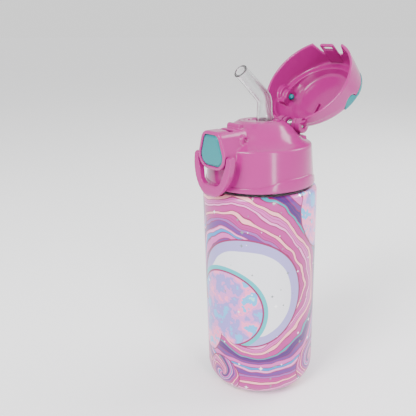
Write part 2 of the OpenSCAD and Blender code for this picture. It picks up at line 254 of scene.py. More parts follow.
# %% [markdown]
# The finishes come next, because each piece gets its own as soon as it is made. Real moulded plastic is
# never one flat colour: it has a faint mottling, and its gloss changes a little from place to place.
# That effect is shared by the pink, teal and white plastics, so it is one node group with its own
# inputs. It puts out a colour, a roughness and a normal, and each material keeps its own shader.

# %% Node helpers
class Nodes:
    """Short names for building a node tree."""

    def __init__(self, tree):
        self.tree = tree

    def add(self, kind, inputs=None, **settings):
        node = self.tree.nodes.new(kind)
        for name, value in settings.items():
            setattr(node, name, value)
        for key, value in (inputs or {}).items():
            self.put(value, node.inputs[key])
        return node

    def put(self, value, socket):
        if isinstance(value, bpy.types.NodeSocket):
            self.tree.links.new(value, socket)
        else:
            socket.default_value = value

    def math(self, operation, *values, clamp=False):
        node = self.tree.nodes.new("ShaderNodeMath")
        node.operation = operation
        node.use_clamp = clamp
        for socket, value in zip(node.inputs, values):
            self.put(value, socket)
        return node.outputs[0]

    def mix(self, amount, a, b, blend="MIX"):
        node = self.tree.nodes.new("ShaderNodeMix")
        node.data_type = "RGBA"
        node.blend_type = blend
        self.put(amount, node.inputs[0])
        self.put(a, node.inputs[6])
        self.put(b, node.inputs[7])
        return node.outputs[2]

    def noise(self, place, scale, detail=2.0, roughness=0.5):
        node = self.add("ShaderNodeTexNoise", {"Vector": place, "Scale": scale, "Detail": detail,
                                               "Roughness": roughness})
        return node.outputs["Fac"]

    def ramp(self, value, stops, mode="LINEAR"):
        node = self.tree.nodes.new("ShaderNodeValToRGB")
        node.color_ramp.interpolation = mode
        while len(node.color_ramp.elements) < len(stops):
            node.color_ramp.elements.new(1.0)
        for element, (place, colour) in zip(node.color_ramp.elements, stops):
            element.position = place
            element.color = colour
        self.put(value, node.inputs[0])
        return node.outputs[0]

    def within(self, value, limit, soft):
        """1 where value is below the limit, 0 above it, with a soft edge."""
        return self.math("DIVIDE", self.math("SUBTRACT", limit, value), soft, clamp=True)


def srgb(r, g, b):
    """A colour as a paint chart gives it, made linear."""
    parts = [v / 255 for v in (r, g, b)]
    return tuple(v / 12.92 if v <= 0.04045 else ((v + 0.055) / 1.055) ** 2.4 for v in parts) + (1.0,)


def group(name, inputs, outputs):
    tree = bpy.data.node_groups.new(name, "ShaderNodeTree")
    for label, kind, value in inputs:
        socket = tree.interface.new_socket(name=label, in_out="INPUT", socket_type=kind)
        if value is not None:
            socket.default_value = value
    for label, kind in outputs:
        tree.interface.new_socket(name=label, in_out="OUTPUT", socket_type=kind)
    start = tree.nodes.new("NodeGroupInput")
    end = tree.nodes.new("NodeGroupOutput")
    return tree, Nodes(tree), start.outputs, end.inputs


# %% Shared group: moulded skin
skin_tree, n, given, out = group(
    "moulded_skin",
    [("Place", "NodeSocketVector", None), ("Colour", "NodeSocketColor", (0.5, 0.5, 0.5, 1)),
     ("Roughness", "NodeSocketFloat", 0.3), ("Mottle", "NodeSocketFloat", 0.06),
     ("Grain", "NodeSocketFloat", 0.02)],
    [("Colour", "NodeSocketColor"), ("Roughness", "NodeSocketFloat"), ("Normal", "NodeSocketVector")])
cloud = n.noise(given["Place"], 60.0, 3.0)
fine = n.noise(given["Place"], 2600.0, 2.0)
shade = n.math("MULTIPLY_ADD", n.math("SUBTRACT", cloud, 0.5), n.math("MULTIPLY", given["Mottle"], 2.0), 1.0)
n.put(n.mix(1.0, given["Colour"], n.add("ShaderNodeCombineColor", {0: shade, 1: shade, 2: shade}).outputs[0],
            "MULTIPLY"), out["Colour"])
n.put(n.math("MULTIPLY_ADD", n.math("SUBTRACT", cloud, 0.5), 0.16, given["Roughness"], clamp=True),
      out["Roughness"])
bump = n.add("ShaderNodeBump", {"Strength": given["Grain"], "Distance": 0.0002, "Height": fine})
n.put(bump.outputs[0], out["Normal"])


def plastic(name, colour, roughness, mottle=0.05, grain=0.05, coat=0.25):
    material = bpy.data.materials.new(name)
    material.use_nodes = True
    m = Nodes(material.node_tree)
    shader = material.node_tree.nodes["Principled BSDF"]
    place = m.add("ShaderNodeTexCoord").outputs["Object"]
    skin = m.add("ShaderNodeGroup", node_tree=skin_tree)
    m.put(place, skin.inputs["Place"])
    for label, value in (("Colour", colour), ("Roughness", roughness), ("Mottle", mottle), ("Grain", grain)):
        skin.inputs[label].default_value = value
    m.put(skin.outputs["Colour"], shader.inputs["Base Color"])
    m.put(skin.outputs["Roughness"], shader.inputs["Roughness"])
    m.put(skin.outputs["Normal"], shader.inputs["Normal"])
    shader.inputs["Specular IOR Level"].default_value = 0.35
    shader.inputs["Coat Weight"].default_value = coat
    shader.inputs["Coat Roughness"].default_value = 0.08
    return material


pink_plastic = plastic("pink_gloss_plastic", (0.33, 0.011, 0.17, 1), 0.22)
teal_plastic = plastic("teal_gloss_plastic", (0.0, 0.18, 0.205, 1), 0.24)
white_plastic = plastic("white_satin_plastic", srgb(232, 234, 236), 0.42, 0.03)
print("plastics ready")


# %% Handing a piece over
def finish(piece, material, body, replaced=()):
    """Gives the piece its finish and its body, and hides the nodes that it stands for."""
    piece.data.materials.clear()
    piece.data.materials.append(material)
    piece.name = piece.data.name
    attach(piece, body)
    if replaced:
        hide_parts(*replaced)
    return piece


# %% [markdown]
# The collar is the pink moulding that screws onto the neck. It is a turned wall with a hollow cove that
# climbs to a flat ring round the straw. In front it carries the button's housing, behind it the hinge.
# A spin gives the wall, plates and bars give the rest, and each part is cut while it is still simple.

# %% Collar: driving sizes
collar_foot, wall_top, disc_z = 140.5, 163.6, 178.4
collar_r, seam_r, ring_r = 34.2, 32.3, 12.6
liner_r, liner_top = 31.2, 157.2
housing_y, housing_back, rim = 39.5, 17.0, 2.1
pocket_y, chamber_back, chamber_z = 33.1, 17.8, 158.2
loop_y, loop_z = 36.7, 160.4
hinge_y = joints["lid_hinge"]["pos_m"][1] / MM
hinge_z = joints["lid_hinge"]["pos_m"][2] / MM
latch_pin = (-22.2, 169.8)
rest_bar = (-20.5, 176.8)
spout_y, web_x = 4.0, 5.8


def button_outline(grow=0.0):
    corners = [(side * 3.6, 170.3, 3.6 + grow) for side in (-1, 1)]
    feet = [(side * 4.0, 161.6, 6.0 + grow) for side in (-1, 1)]
    return hull_outline(corners + feet)


# %% Collar: turned wall
cove = eased([(30.9, 165.0), (29.4, 165.45), (27.0, 166.6), (24.9, 168.0), (23.3, 169.6), (22.1, 171.1),
              (20.9, 172.6), (19.6, 174.0), (18.2, 175.3), (16.6, 176.5), (15.0, 177.5), (13.8, 178.1)])
wall_profile = (
    [(collar_r - 3.2, collar_foot), (collar_r - 0.3, collar_foot), (collar_r, collar_foot + 0.4),
     (seam_r, wall_top)]
    + arc(seam_r - 1.4, wall_top, 1.4, 8, 88, 6) + cove
    + [(13.2, disc_z), (ring_r, disc_z), (ring_r, 176.0), (6.5, 176.0), (6.5, 174.0), (15.0, 175.0),
       (17.8, 172.6), (20.0, 169.4), (22.0, 166.8), (25.0, 164.4), (29.0, 162.8), (liner_r, 161.0),
       (liner_r, 157.0)])
wall = turned("collar_wall", wall_profile, 256)


def pocket_tools():
    return [plate("pocket", button_outline(), -housing_y - 1, -pocket_y),
            keep_common(plate("chamber", button_outline(0.3), -pocket_y - 1, -chamber_back),
                        block((-20, -40, chamber_z), (20, 0, 190))),
            z_bar(liner_r, 130, liner_top, sides=128),
            z_bar(5.2, 170, 180, y=spout_y)]


# %% Collar: housing, barrels and rest bar
housing = plate("housing", button_outline(rim), -housing_y, -housing_back)
pick(housing)
bpy.ops.object.mode_set(mode="EDIT")
bpy.ops.mesh.select_all(action="DESELECT")
bpy.ops.object.mode_set(mode="OBJECT")
for edge in housing.data.edges:
    edge.select = all(housing.data.vertices[i].co.y < (-housing_y + 0.1) * MM for i in edge.vertices)
bpy.ops.object.mode_set(mode="EDIT")
bpy.ops.mesh.select_mode(type="EDGE")
bpy.ops.mesh.bevel(offset=1.1 * MM, segments=5, affect="EDGES")
bpy.ops.object.mode_set(mode="OBJECT")

barrels = both_sides(x_bar(3.2, 7.6, 11.2, *latch_pin))
bar = x_bar(1.9, -5.5, 5.5, *rest_bar)
bar_foot = block((-4.6, rest_bar[0] - 1.3, 172), (4.6, rest_bar[0] + 1.3, 176.6))
pad = keep_common(block((-14, 22, 162.4), (14, 34, 167.0)), z_bar(31.3, 150, 180, sides=128))
web = block((-web_x, 25.6, 163), (web_x, 31.4, 172))
knuckle = x_bar(4.6, -web_x, web_x, hinge_y, hinge_z)

# %% Collar: cuts, then one moulded skin
for part in (wall, housing):
    cut(part, *pocket_tools())
cut(housing, block((-6.2, -30.4, 171), (6.2, -26.8, 180)), *both_sides(x_bar(1.55, 8, 14, -loop_y, loop_z)))
for part in barrels:
    cut(part, x_bar(1.25, -12, 12, *latch_pin))
for part in (web, knuckle):
    cut(part, x_bar(5.2, -2.9, 2.9, hinge_y, hinge_z), x_bar(1.5, -7, 7, hinge_y, hinge_z))
collar = moulded(join("collar_moulding", wall, housing, *barrels, bar, bar_foot, pad, web, knuckle),
                 cell=0.42, rounds=7)
finish(collar, pink_plastic, "collar", ["collar_shell"])

# %% [markdown]
# A raised band runs round the collar's foot and climbs in a wave at each side. It stands only half a
# millimetre proud, which a remesh would wash out, so it is its own thin ring. It is spun like the wall,
# and then its upper rows are lifted to the wave.

# %% Wave band
def wave_top(y):
    """Height of the band's top edge, in millimetres, at a place y in front of or behind the axis."""
    y = abs(y)
    lift = 0.0 if y > 27 else 4.4 if y < 9 else 2.2 * (1 + math.cos(math.radians(10 * (y - 9))))
    return collar_foot + 3.2 + lift


band_rows = [(-1.2, 0.0), (0.35, 0.0), (0.62, 0.04), (0.7, 0.14), (0.62, 0.9), (0.42, 0.96), (0.1, 1.0),
             (-1.2, 1.0)]
band = turned("wave_band", [(collar_r + out_by, collar_foot + 5 * up) for out_by, up in band_rows], 256)
for vertex in band.data.vertices:
    r = math.hypot(vertex.co.x, vertex.co.y) / MM
    up = (vertex.co.z / MM - collar_foot) / 5
    top = wave_top(vertex.co.y / MM)
    z = collar_foot + up * (top - collar_foot)
    lean = (collar_r - seam_r) * (z - collar_foot) / (wall_top - collar_foot)
    vertex.co *= (r - lean) / r
    vertex.co.z = z * MM
modify(band, "SUBSURF", levels=1, render_levels=1)
pick(band)
bpy.ops.object.shade_smooth()
finish(band, pink_plastic, "collar")

# %% [markdown]
# The ring that clamps the soft spout lies in the middle of the collar. It is a turned disc with a round
# groove beside the spout.

# %% Spout ring
ring_face = [(0.0, 176.0), (12.5, 176.0), (12.5, disc_z - 0.3)] + arc(12.2, disc_z - 0.3, 0.3, 0, 90, 3) + [
    (10.4, disc_z), (10.0, disc_z - 0.35), (9.6, disc_z), (7.6, disc_z), (7.1, disc_z - 0.5),
    (0.0, disc_z - 0.5)]
spout_ring = cut(turned("spout_ring_face", ring_face, 128), z_bar(5.6, 170, 190, y=spout_y))
modify(spout_ring, "BEVEL", width=0.12 * MM, segments=2, limit_method="ANGLE", angle_limit=math.radians(50))
pick(spout_ring)
bpy.ops.object.shade_smooth_by_angle(angle=math.radians(40))
finish(spout_ring, pink_plastic, "collar", ["spout_ring"])

# %% [markdown]
# The button is a teal cap with a soft pillow face. It fills the pocket with a thin gap all round. Two plates,
# a full one and a smaller one in front of it, melt into the pillow when they are moulded.

# %% Button
cap_front, cap_back = -39.1, -36.2
button = moulded(join("button_face", plate("cap", button_outline(-0.12), cap_front + 0.5, cap_back),
                      plate("pillow", button_outline(-1.0), cap_front, cap_back)), cell=0.2, rounds=6)
finish(button, teal_plastic, "button", ["button_cap"])

# %% [markdown]
# The lock loop is a bent bar that hangs from two stubs beside the button and swings up over it. Its outer
# line is half an ellipse, and its inner line follows the housing with a gap. It is drawn swung up, where
# its sizes are plain, and then turned half a turn about its stubs to hang down.

# %% Lock loop
loop_half, loop_reach, arch_z = 16.4, 23.1, 162.0
tip_z = loop_z + loop_reach - 1.6
arch = [(loop_half, loop_z - 2.3)] + [
    (x, arch_z + (z - arch_z) * (loop_reach - 1.6) / loop_half)
    for x, z in arc(0, arch_z, loop_half, 0, 180, 48)]
arch.append((-loop_half, loop_z - 2.3))
loop = plate("loop_bar", arch, -45, -25)
cut(loop, plate("loop_gap", button_outline(2.5), -50, -20),
    block((-12.5, -50, loop_z - 3), (12.5, -20, loop_z + 1.2)))
side = hull_outline([(-loop_y, loop_z, 2.3), (-loop_y + 3.3, tip_z, 1.5)], 48)
keep_common(loop, side_plate("loop_side", side, -30, 30))
loop_pins = both_sides(x_bar(1.5, 10.4, 14, -loop_y, loop_z, 32))
loop = moulded(join("lock_loop_bar", loop, *loop_pins), cell=0.3, rounds=16)
hang = Matrix.Translation((0, -loop_y * MM, loop_z * MM)) @ Matrix.Rotation(math.pi, 4, "X")
loop.data.transform(hang @ Matrix.Translation((0, loop_y * MM, -loop_z * MM)))
finish(loop, pink_plastic, "lock_loop", ["lock_loop"])

# %% [markdown]
# The lid is a shallow bowl with a tilted seat cut into its front half for the carry handle. It is drawn
# closed, as two solids of the same form, one inside the other. The inner one is taken out of the outer
# one, then come the cut-outs, and at the end the lid is turned back about its hinge.

# %% Lid: driving sizes
lid_foot, lid_top, lid_wall, skirt_r = 165.3, 191.5, 1.8, seam_r
seat_z, seat_tilt, seat_r, seat_back = 180.0, math.radians(12.1), 25.9, 9.9
pivot_y, pivot_z, pivot_hole, pocket_x, boss_in = 4.0, 181.0, 2.2, 27.7, 22.4
lid_angle = joints["lid_hinge"]["range_deg"][1]


def on_seat(piece):
    """Moves a piece from the seat's own frame to the bottle's frame."""
    piece.data.transform(Matrix.Translation((0, 0, seat_z * MM)) @ Matrix.Rotation(-seat_tilt, 4, "X"))
    return piece


def lid_form(inside):
    """The lid's rounded form, drawn so many millimetres in from its surface."""
    d = inside
    low = lid_foot - (1 if d else 0)
    crown = [((30.9 - d) * math.cos(a), 181 + (lid_top - 181 - d) * math.sin(a))
             for a in [math.radians(7.5 * k) for k in range(12)]]
    skirt = [(0, low), (skirt_r - d, low), (31.6 - d, 174)]
    upright = turned("lid_round", skirt + crown + [(0, lid_top - d)], 192)
    shoulder = eased([(31.6 - d, -2.0 - d / 2), (31.2 - d, -0.5 - d / 2), (30.5 - d, 0.9 - d / 2),
                      (29.5 - d, 2.0 - d / 2), (28.0 - d, 3.2 - d / 2), (26.2 - d, 4.5 - d / 2),
                      (24.2 - d, 5.9 - d / 2), (22.0 - d / 2, 7.5 - d), (18, 9.6 - d), (12, 11.2 - d)], 3)
    tilted = on_seat(turned(
        "lid_shoulder", [(0, -30), (38 - d, -30), (38 - d, -6)] + shoulder + [(0, 12.6 - d)], 192))
    return keep_common(upright, tilted)


def seat_room(inside):
    """What the handle's seat takes out of the lid, so many millimetres larger all round."""
    d = inside
    room = on_seat(block((-50, -50, -d), (50, 50, 40)))
    room = keep_common(room, block((-60, -60, 150), (60, seat_back + d, 215)))
    plateau = turned("plateau", [(0, 160), (seat_r - d, 160), (seat_r - d, 182), (22.8 - d, 188.4 - d / 2),
                                 (0, 188.4 - d / 2)], 192)
    return cut(room, plateau)


# %% Lid: bowl
bowl = cut(lid_form(0), seat_room(0))
cut(bowl, cut(lid_form(lid_wall), seat_room(lid_wall)))
back_wall = keep_common(x_bar(7.4, pocket_x - 1.8, pocket_x + 3, pivot_y, pivot_z),
                        on_seat(block((-50, -50, -30), (50, 50, 0))), z_bar(30.8, 150, 210, sides=128))
pivot_walls = both_sides(back_wall)
notch = [(-7, 189), (-2.5, 184.4), (2.5, 184.4), (7, 189)]


def lid_cuts():
    """The cuts through the lid's wall: housing, pockets, finger notch, pad and web."""
    return [plate("housing_room", button_outline(2.9), -45, -20),
            *both_sides(x_bar(5.9, pocket_x, 40, pivot_y, pivot_z)),
            plate("finger_notch", notch, -40, -24),
            block((-14.5, 22, 160), (14.5, 42, 168)),
            block((-6.1, 20, 160), (6.1, 40, hinge_z)),
            x_bar(5.4, -6.2, 6.2, hinge_y, hinge_z)]


for part in (bowl, *pivot_walls):
    cut(part, *lid_cuts())

# %% Lid: bosses, tab, knuckles and rib
boss = keep_common(x_bar(5.0, boss_in, pocket_x, pivot_y, pivot_z), on_seat(turned(
    "boss_room", [(0, -20), (32, -20), (30, 1.5), (28.3, 3.3), (26.5, 4.5), (0, 4.5)], 96)))
tab = keep_common(block((-5.5, -29.6, lid_foot), (5.5, -27.6, lid_foot + 17)), z_bar(30, 150, 200, sides=96))
cut(tab, block((-4.4, -40, 166.9), (4.4, -20, 170.3)))
knuckles = both_sides(cut(x_bar(4.9, 6.2, 10.3, hinge_y, hinge_z), x_bar(1.7, 5, 12, hinge_y, hinge_z)))
bosses = both_sides(cut(boss, x_bar(pivot_hole, boss_in - 1, 29, pivot_y, pivot_z)))
rib = block((-0.8, 4, 185), (0.8, 14, 188.6))
for part in (bowl, *pivot_walls):
    cut(part, x_bar(pivot_hole, -29, 29, pivot_y, pivot_z))
lid = moulded(join("lid_moulding", bowl, *pivot_walls, *bosses, tab, *knuckles, rib), cell=0.4, rounds=7)


def open_lid(piece):
    """Turns a closed piece back about the hinge to where the lid rests."""
    to_hinge = Matrix.Translation((0, hinge_y * MM, hinge_z * MM))
    piece.data.transform(to_hinge @ Matrix.Rotation(-math.radians(lid_angle), 4, "X") @ to_hinge.inverted())
    return piece


finish(open_lid(lid), pink_plastic, "lid", ["lid_shell"])

# %% [markdown]
# The carry handle is the teal band that lies in the lid's seat. Its front is a quarter-round ring that
# follows the tilted seat, and its ends are flat eyes in the side pockets, with a ball-ended stub inside.

# %% Carry handle
handle_crown = [(31.0, 0.3), (31.0, 1.2)] + eased(
    [(30.9, 1.5), (30.3, 2.8), (29.3, 4.0), (28.0, 5.0), (26.9, 5.5), (26.0, 5.6)], 4) + [(26.2, 0.3)]
ring = on_seat(turned("handle_ring", handle_crown, 192))
keep_common(ring, z_bar(30.7, 140, 230, sides=128), block((-50, -50, 150), (50, -4, 230)))
arm_side = hull_outline([(pivot_y, pivot_z, 5.2), (-5, 182.8, 1.1), (-5, 185.4, 1.1)], 64)
arm = keep_common(side_plate("handle_arm", arm_side, pocket_x + 0.3, 34),
                  on_seat(block((0, -50, 0.3), (50, 50, 20))))
eye = x_bar(5.55, pocket_x + 0.3, 34, pivot_y, pivot_z)
for part in (arm, eye):
    keep_common(part, z_bar(30.8, 140, 230, sides=128), on_seat(turned(
        "eye_room", [(0, -20), (33, -20), (33, -2), (31.2, 1.2), (30.2, 2.4), (28.8, 3.7), (27, 4.9),
                     (0, 4.9)], 128)))
stub = x_bar(1.95, boss_in - 0.4, pocket_x + 1, pivot_y, pivot_z, 48)
deselect()
bpy.ops.mesh.primitive_uv_sphere_add(segments=48, ring_count=24, radius=2.05 * MM,
                                     location=((boss_in - 0.5) * MM, pivot_y * MM, pivot_z * MM))
ball = settle(bpy.context.object)
ends = [side for part in (arm, eye, stub, ball) for side in both_sides(part)]
handle = moulded(join("handle_band", ring, *ends), cell=0.3, rounds=9)
finish(open_lid(handle), teal_plastic, "carry_handle", ["carry_handle"])

# %% [markdown]
# The drinking spout is one soft tube from its foot in the collar to its open mouth. A bevelled curve gives
# the bend and the taper, and Solidify gives the wall. The tube bends between the collar and the
# spout's body when the lid folds it down.

# %% Spout
spout_foot = Vector((0, spout_y, 176.4))
bend_r, bend_angle, bend_z, mouth_run = 7.0, math.radians(49), 187.6, 23.0
centre = Vector((0, spout_y - bend_r, bend_z))
line = [(spout_foot, 5.45), (Vector((0, spout_y, 178.6)), 5.35), (Vector((0, spout_y, 181.0)), 4.95),
        (Vector((0, spout_y, 184.5)), 4.75)]
for k in range(7):
    a = bend_angle * k / 6
    line.append((centre + Vector((0, bend_r * math.cos(a), bend_r * math.sin(a))), 4.7))
bend_end = line[-1][0]
along = Vector((0, -math.sin(bend_angle), math.cos(bend_angle)))
for run, r in ((5, 4.55), (10, 4.35), (15, 4.25), (20, 4.2), (21.6, 4.3), (mouth_run, 4.4)):
    line.append((bend_end + along * run, r))
deselect()
bpy.ops.curve.primitive_nurbs_path_add()
path = bpy.context.object
path.data.splines.clear()
spline = path.data.splines.new("NURBS")
spline.points.add(len(line) - 1)
for point, (place, r) in zip(spline.points, line):
    point.co = (*(place * MM), 1)
    point.radius = r
spline.use_endpoint_u = True
spline.order_u = 3
spline.resolution_u = 8
path.data.bevel_depth = MM
path.data.bevel_resolution = 12
path.data.use_fill_caps = False
pick(path)
bpy.ops.object.convert(target="MESH")
spout = face_out(bpy.context.object)
spout.name = spout.data.name = "spout_tube"
modify(spout, "SOLIDIFY", thickness=1.55 * MM, offset=-1, use_even_offset=True)
modify(spout, "BEVEL", width=0.4 * MM, segments=3, limit_method="ANGLE", angle_limit=math.radians(50))
pick(spout)
bpy.ops.object.shade_smooth()
print("spout box", [round(v / MM, 1) for v in spout.dimensions])

# %% [markdown]
# Soft clear silicone lets light through, but its edges look grey, because there the light passes through
# more of it. The tone follows the angle between the surface and the eye: pale face on, dark edge on.

# %% Clear silicone
silicone = bpy.data.materials.new("clear_silicone")
silicone.use_nodes = True
m = Nodes(silicone.node_tree)
shader = silicone.node_tree.nodes["Principled BSDF"]
place = m.add("ShaderNodeTexCoord").outputs["Object"]
cloud = m.noise(place, 180.0, 3.0)
rim_tone = m.ramp(m.add("ShaderNodeLayerWeight", {"Blend": 0.4}).outputs["Facing"],
                  [(0.0, (0.93, 0.94, 0.94, 1)), (0.55, (0.8, 0.81, 0.82, 1)), (0.9, (0.24, 0.25, 0.26, 1))])
m.put(m.mix(m.math("MULTIPLY", cloud, 0.15), rim_tone, (0.6, 0.62, 0.63, 1)), shader.inputs["Base Color"])
m.put(m.math("MULTIPLY_ADD", cloud, 0.16, 0.06), shader.inputs["Roughness"])
m.put(m.add("ShaderNodeBump", {"Strength": 0.08, "Distance": 0.0003, "Height": cloud}).outputs[0],
      shader.inputs["Normal"])
shader.inputs["Transmission Weight"].default_value = 0.97
shader.inputs["IOR"].default_value = 1.41
spout.data.materials.append(silicone)
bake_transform(spout)
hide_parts("spout_base", "spout_tip")

# %% [markdown]
# The flask's body is a pressed steel cup with a print under a clear coat. Its outside is spun from a fine
# profile, so that the print's highlights run clean. The shoulder under the collar and the standing ring
# stay bare steel.

# %% Flask body
body_r, foot_r, body_h, steel_t = 36.5, 12.4, 134.6, 0.6
body_profile = (
    [(20.0, 0.0)] + arc(body_r - foot_r, foot_r, foot_r, -90, 0, 16)
    + [(body_r, z) for z in range(20, 131, 10)] + arc(body_r - 4.2, body_h, 4.2, 0, 75, 10)
    + [(28.62, 139.3), (28.62, 138.7)] + arc(body_r - 4.2, body_h, 4.2 - steel_t, 75, 0, 8)
    + arc(body_r - foot_r, foot_r, foot_r - steel_t, 0, -90, 12) + [(20.0, steel_t)])
body = turned("flask_body", body_profile, 256)
pick(body)
bpy.ops.object.shade_smooth_by_angle(angle=math.radians(30))
print("flask", [round(v / MM, 1) for v in body.dimensions])

# %% [markdown]
# The print is flat artwork wrapped round the cup: outlined ribbons that swirl round a pearl crescent, a
# pastel sky, and small silver sparkles. Painting it by hand would need a picture file, so it is drawn with
# nodes. Every point gets two flat coordinates: the arc length round the cup and the height, in millimetres.
# One group draws a swirl of ribbons round any centre, so the large swirl and the small curls share it.

# %% Shared group: ribbon swirl
LINE = srgb(178, 40, 138)
PINKS = [srgb(205, 92, 178), srgb(224, 140, 204), srgb(240, 182, 222)]
PURPLES = [srgb(124, 60, 158), srgb(156, 96, 178), srgb(186, 134, 198)]
BLUES = [srgb(70, 186, 200), srgb(98, 178, 222)]
PEACH = srgb(248, 198, 206)
RIBBONS = [(0.085, PINKS[0]), (0.035, PINKS[2]), (0.07, PINKS[1]), (0.045, PEACH), (0.085, PINKS[0]),
           (0.03, BLUES[0]), (0.08, PURPLES[0]), (0.05, PURPLES[1]), (0.075, PINKS[1]), (0.05, BLUES[1]),
           (0.045, PINKS[2]), (0.075, PURPLES[1]), (0.04, PURPLES[2]), (0.075, PINKS[0]), (0.04, PEACH)]


def ribbon_stops(line_share):
    """Stops for a ramp: each ribbon with a thin line before it."""
    scale = 1.0 / sum(width + line_share for width, _ in RIBBONS)
    stops, place = [], 0.0
    for width, colour in RIBBONS:
        stops.append((place, LINE))
        place += line_share * scale
        stops.append((place, colour))
        place += width * scale
    return stops


swirl_tree, n, given, out = group(
    "ribbon_swirl",
    [("Around", "NodeSocketFloat", 0.0), ("Height", "NodeSocketFloat", 0.0),
     ("Wobble", "NodeSocketFloat", 0.0), ("Centre around", "NodeSocketFloat", 0.0),
     ("Centre height", "NodeSocketFloat", 0.0),
     ("Period", "NodeSocketFloat", 40.0), ("Turns", "NodeSocketFloat", 1.0)],
    [("Colour", "NodeSocketColor"), ("Distance", "NodeSocketFloat")])
half_round = math.pi * body_r
across = n.math("WRAP", n.math("SUBTRACT", given["Around"], given["Centre around"]), half_round, -half_round)
upward = n.math("SUBTRACT", given["Height"], given["Centre height"])
reach = n.math("SQRT", n.math("ADD", n.math("MULTIPLY", across, across), n.math("MULTIPLY", upward, upward)))
turn = n.math("DIVIDE", n.math("ARCTAN2", upward, across), math.tau)
phase = n.math("ADD", n.math("DIVIDE", n.math("ADD", reach, given["Wobble"]), given["Period"]),
               n.math("MULTIPLY", turn, given["Turns"]))
ribbon = n.ramp(n.math("FRACT", phase), ribbon_stops(0.012), "CONSTANT")
strand = n.within(n.math("FRACT", n.math("MULTIPLY", phase, 11.0)), 0.13, 0.04)
n.put(n.mix(n.math("MULTIPLY", strand, 0.45), ribbon, LINE), out["Colour"])
n.put(reach, out["Distance"])

# %% [markdown]
# The printed coat lays its pictures over each other, as the layers of a screen print: ribbons first, then
# patches of sky, then the small curls, each inside its own outlined circle.

# %% Printed coat
printed = bpy.data.materials.new("printed_coat")
printed.use_nodes = True
m = Nodes(printed.node_tree)
shader = printed.node_tree.nodes["Principled BSDF"]
place = m.add("ShaderNodeTexCoord").outputs["Object"]
split = m.add("ShaderNodeSeparateXYZ", {0: place})
forward = m.math("MULTIPLY", split.outputs[1], -1.0)
around = m.math("MULTIPLY", m.math("ARCTAN2", split.outputs[0], forward), body_r)
height = m.math("MULTIPLY", split.outputs[2], 1000.0)
slow = m.math("MULTIPLY", m.math("SUBTRACT", m.noise(place, 22.0, 1.0), 0.5), 30.0)
quick = m.math("MULTIPLY", m.math("SUBTRACT", m.noise(place, 75.0, 1.0), 0.5), 7.0)
wobble = m.math("ADD", slow, quick)


def swirl(centre_around, centre_height, period, turns):
    node = m.add("ShaderNodeGroup", node_tree=swirl_tree)
    for label, value in (("Around", around), ("Height", height), ("Wobble", wobble)):
        m.put(value, node.inputs[label])
    for label, value in (("Centre around", centre_around), ("Centre height", centre_height),
                         ("Period", period), ("Turns", turns)):
        node.inputs[label].default_value = value
    return node.outputs["Colour"], node.outputs["Distance"]


def distance_from(centre_around, centre_height):
    return swirl(centre_around, centre_height, 30.0, 1.0)[1]


def ringed(base, inside, distance, radius, line=0.8):
    """Lays one picture over another inside a circle, with a printed line round it."""
    edge = m.mix(m.within(distance, radius + line, 0.15), base, LINE)
    return m.mix(m.within(distance, radius, 0.15), edge, inside)


sky = m.ramp(m.noise(place, 46.0, 4.0, 0.6),
             [(0.0, srgb(150, 206, 238)), (0.40, srgb(186, 176, 226)), (0.46, srgb(226, 176, 222)),
              (0.51, srgb(248, 178, 214)), (0.56, srgb(140, 206, 238)), (0.64, srgb(182, 232, 236))],
             "CONSTANT")
moon_at, moon_r, bite_at, bite_r, moon_line = (20.0, 76.0), 36.0, (6.0, 64.0), 25.0, 1.1
art, _ = swirl(*moon_at, 40.0, -1.0)
for centre_around, centre_height, radius in ((80.0, 124.0, 25.0), (-14.0, 44.0, 15.0), (-96.0, 112.0, 24.0)):
    distance = distance_from(centre_around, centre_height)
    art = ringed(art, sky, m.math("ADD", distance, m.math("MULTIPLY", wobble, 0.5)), radius)
for centre_around, centre_height, radius, period, turns in (
        (72.0, 17.0, 16.0, 20.0, 1.0), (2.0, 14.0, 13.0, 17.0, -1.0), (-72.0, 42.0, 22.0, 26.0, 1.0),
        (-34.0, 118.0, 20.0, 24.0, -1.0), (-100.0, 24.0, 18.0, 22.0, -1.0)):
    curl, distance = swirl(centre_around, centre_height, period, turns)
    art = ringed(art, curl, distance, radius)

# %% [markdown]
# The pearl crescent is a disc with a smaller disc of sky laid over its lower left. It has a lilac shade
# along its outer side and a thin teal one along its inner side, and it shines a little like pearl ink.

# %% Pearl crescent
outer = distance_from(*moon_at)
inner = distance_from(*bite_at)
shadow = m.math("ADD", outer, m.math("MULTIPLY", m.noise(place, 50.0, 1.0), 6.0))
pearl = m.mix(m.within(shadow, 33.0, 0.2), srgb(196, 190, 226), srgb(236, 236, 240))
pearl = m.mix(m.within(m.math("MULTIPLY", inner, -1.0), -28.5, 0.2), srgb(112, 208, 214), pearl)
art = ringed(art, pearl, outer, moon_r, moon_line)
art = m.mix(m.within(outer, moon_r + moon_line, 0.15), art, ringed(art, sky, inner, bite_r, moon_line))
past_bite = m.within(m.math("MULTIPLY", inner, -1.0), -(bite_r + moon_line), 0.2)
white_area = m.math("MULTIPLY", m.within(outer, moon_r, 0.2), past_bite)

# %% [markdown]
# The sparkles are foil stars. Voronoi cells scatter one point to a cell, and a star with four thin arms is
# drawn round it. Each cell's random colour sets the star's size, whether it shows, and how dark it is.

